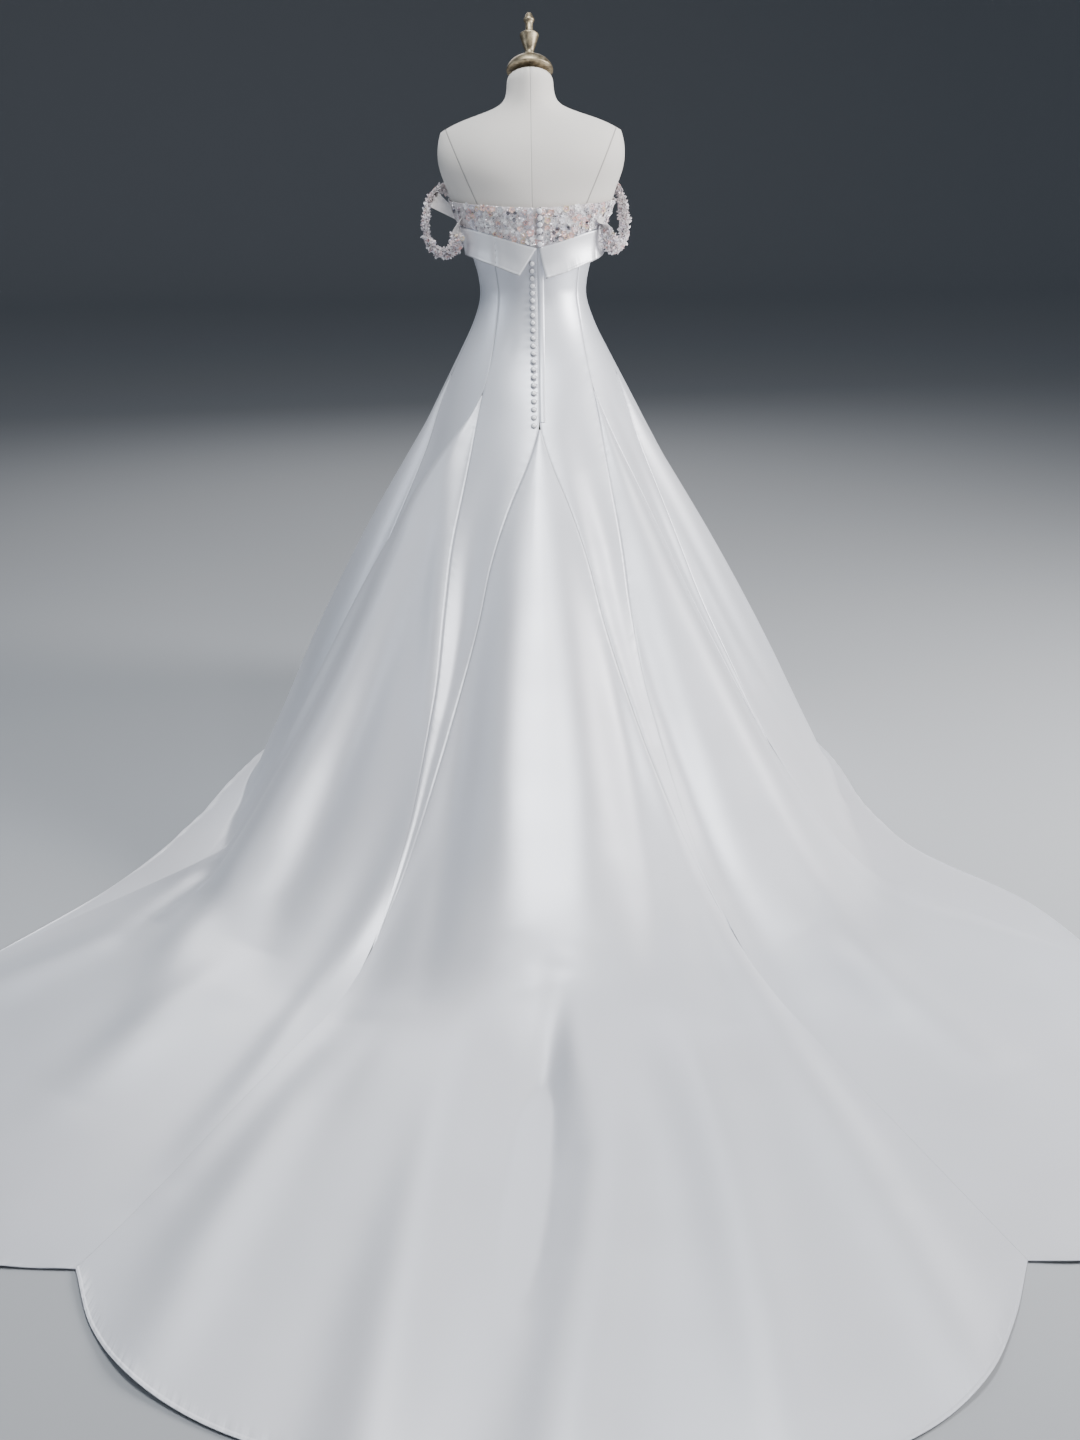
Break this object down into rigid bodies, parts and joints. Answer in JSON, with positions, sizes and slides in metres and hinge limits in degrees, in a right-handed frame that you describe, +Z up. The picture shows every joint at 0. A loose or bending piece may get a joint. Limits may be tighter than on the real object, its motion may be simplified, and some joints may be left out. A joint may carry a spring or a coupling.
{
  "type": "wedding dress on a dress form",
  "caption": "Off-shoulder satin wedding dress with a beaded yoke, a turned-down cuff and a long flared train, worn by a limbless dress form on a pole and a round foot.",
  "frame": {"origin": "on the floor under the pole of the dress form, at the middle of the round foot's underside", "axes": "+Z up, -Y the wearer's front, +Y the train, +X the wearer's left"},
  "size_m": [2.1184, 2.88, 1.6953],
  "materials": {
    "ivory_satin": "heavy satin, soft sheen",
    "beaded_tulle": "tulle under beads and small blossoms",
    "strap_tulle": "smooth folded tulle",
    "petal_fringe": "small soft petals on a backing strip",
    "form_linen": "plain linen stretched over the form",
    "aged_brass": "darkened, satin"
  },
  "bodies": {
    "root": {"button_01": "ivory_satin", "button_02": "ivory_satin", "button_03": "ivory_satin", "button_04": "ivory_satin", "button_05": "ivory_satin", "button_06": "ivory_satin", "button_07": "ivory_satin", "button_08": "ivory_satin", "button_09": "ivory_satin", "button_10": "ivory_satin", "button_11": "ivory_satin", "button_12": "ivory_satin", "button_13": "ivory_satin", "button_14": "ivory_satin", "button_15": "ivory_satin", "button_16": "ivory_satin", "button_17": "ivory_satin", "button_18": "ivory_satin", "button_19": "ivory_satin", "button_20": "ivory_satin", "button_21": "ivory_satin", "button_22": "ivory_satin", "cuff_front": "ivory_satin", "cuff_left": "ivory_satin", "cuff_right": "ivory_satin", "finial": "aged_brass", "form_torso": "form_linen", "fringe_left": "petal_fringe", "fringe_right": "petal_fringe", "gore_back": "ivory_satin", "gore_side_back_left": "ivory_satin", "gore_side_back_right": "ivory_satin", "gore_side_left": "ivory_satin", "gore_side_right": "ivory_satin", "neck_cap": "aged_brass", "panel_back_left": "ivory_satin", "panel_back_right": "ivory_satin", "panel_front": "ivory_satin", "panel_side_back_left": "ivory_satin", "panel_side_back_right": "ivory_satin", "panel_side_front_left": "ivory_satin", "panel_side_front_right": "ivory_satin", "stand_base": "aged_brass", "stand_pole": "aged_brass", "strap_left": "strap_tulle", "strap_right": "strap_tulle", "strap_web": "strap_tulle", "yoke_back_left": "beaded_tulle", "yoke_back_right": "beaded_tulle", "yoke_front": "beaded_tulle"}
  },
  "joints": []
}
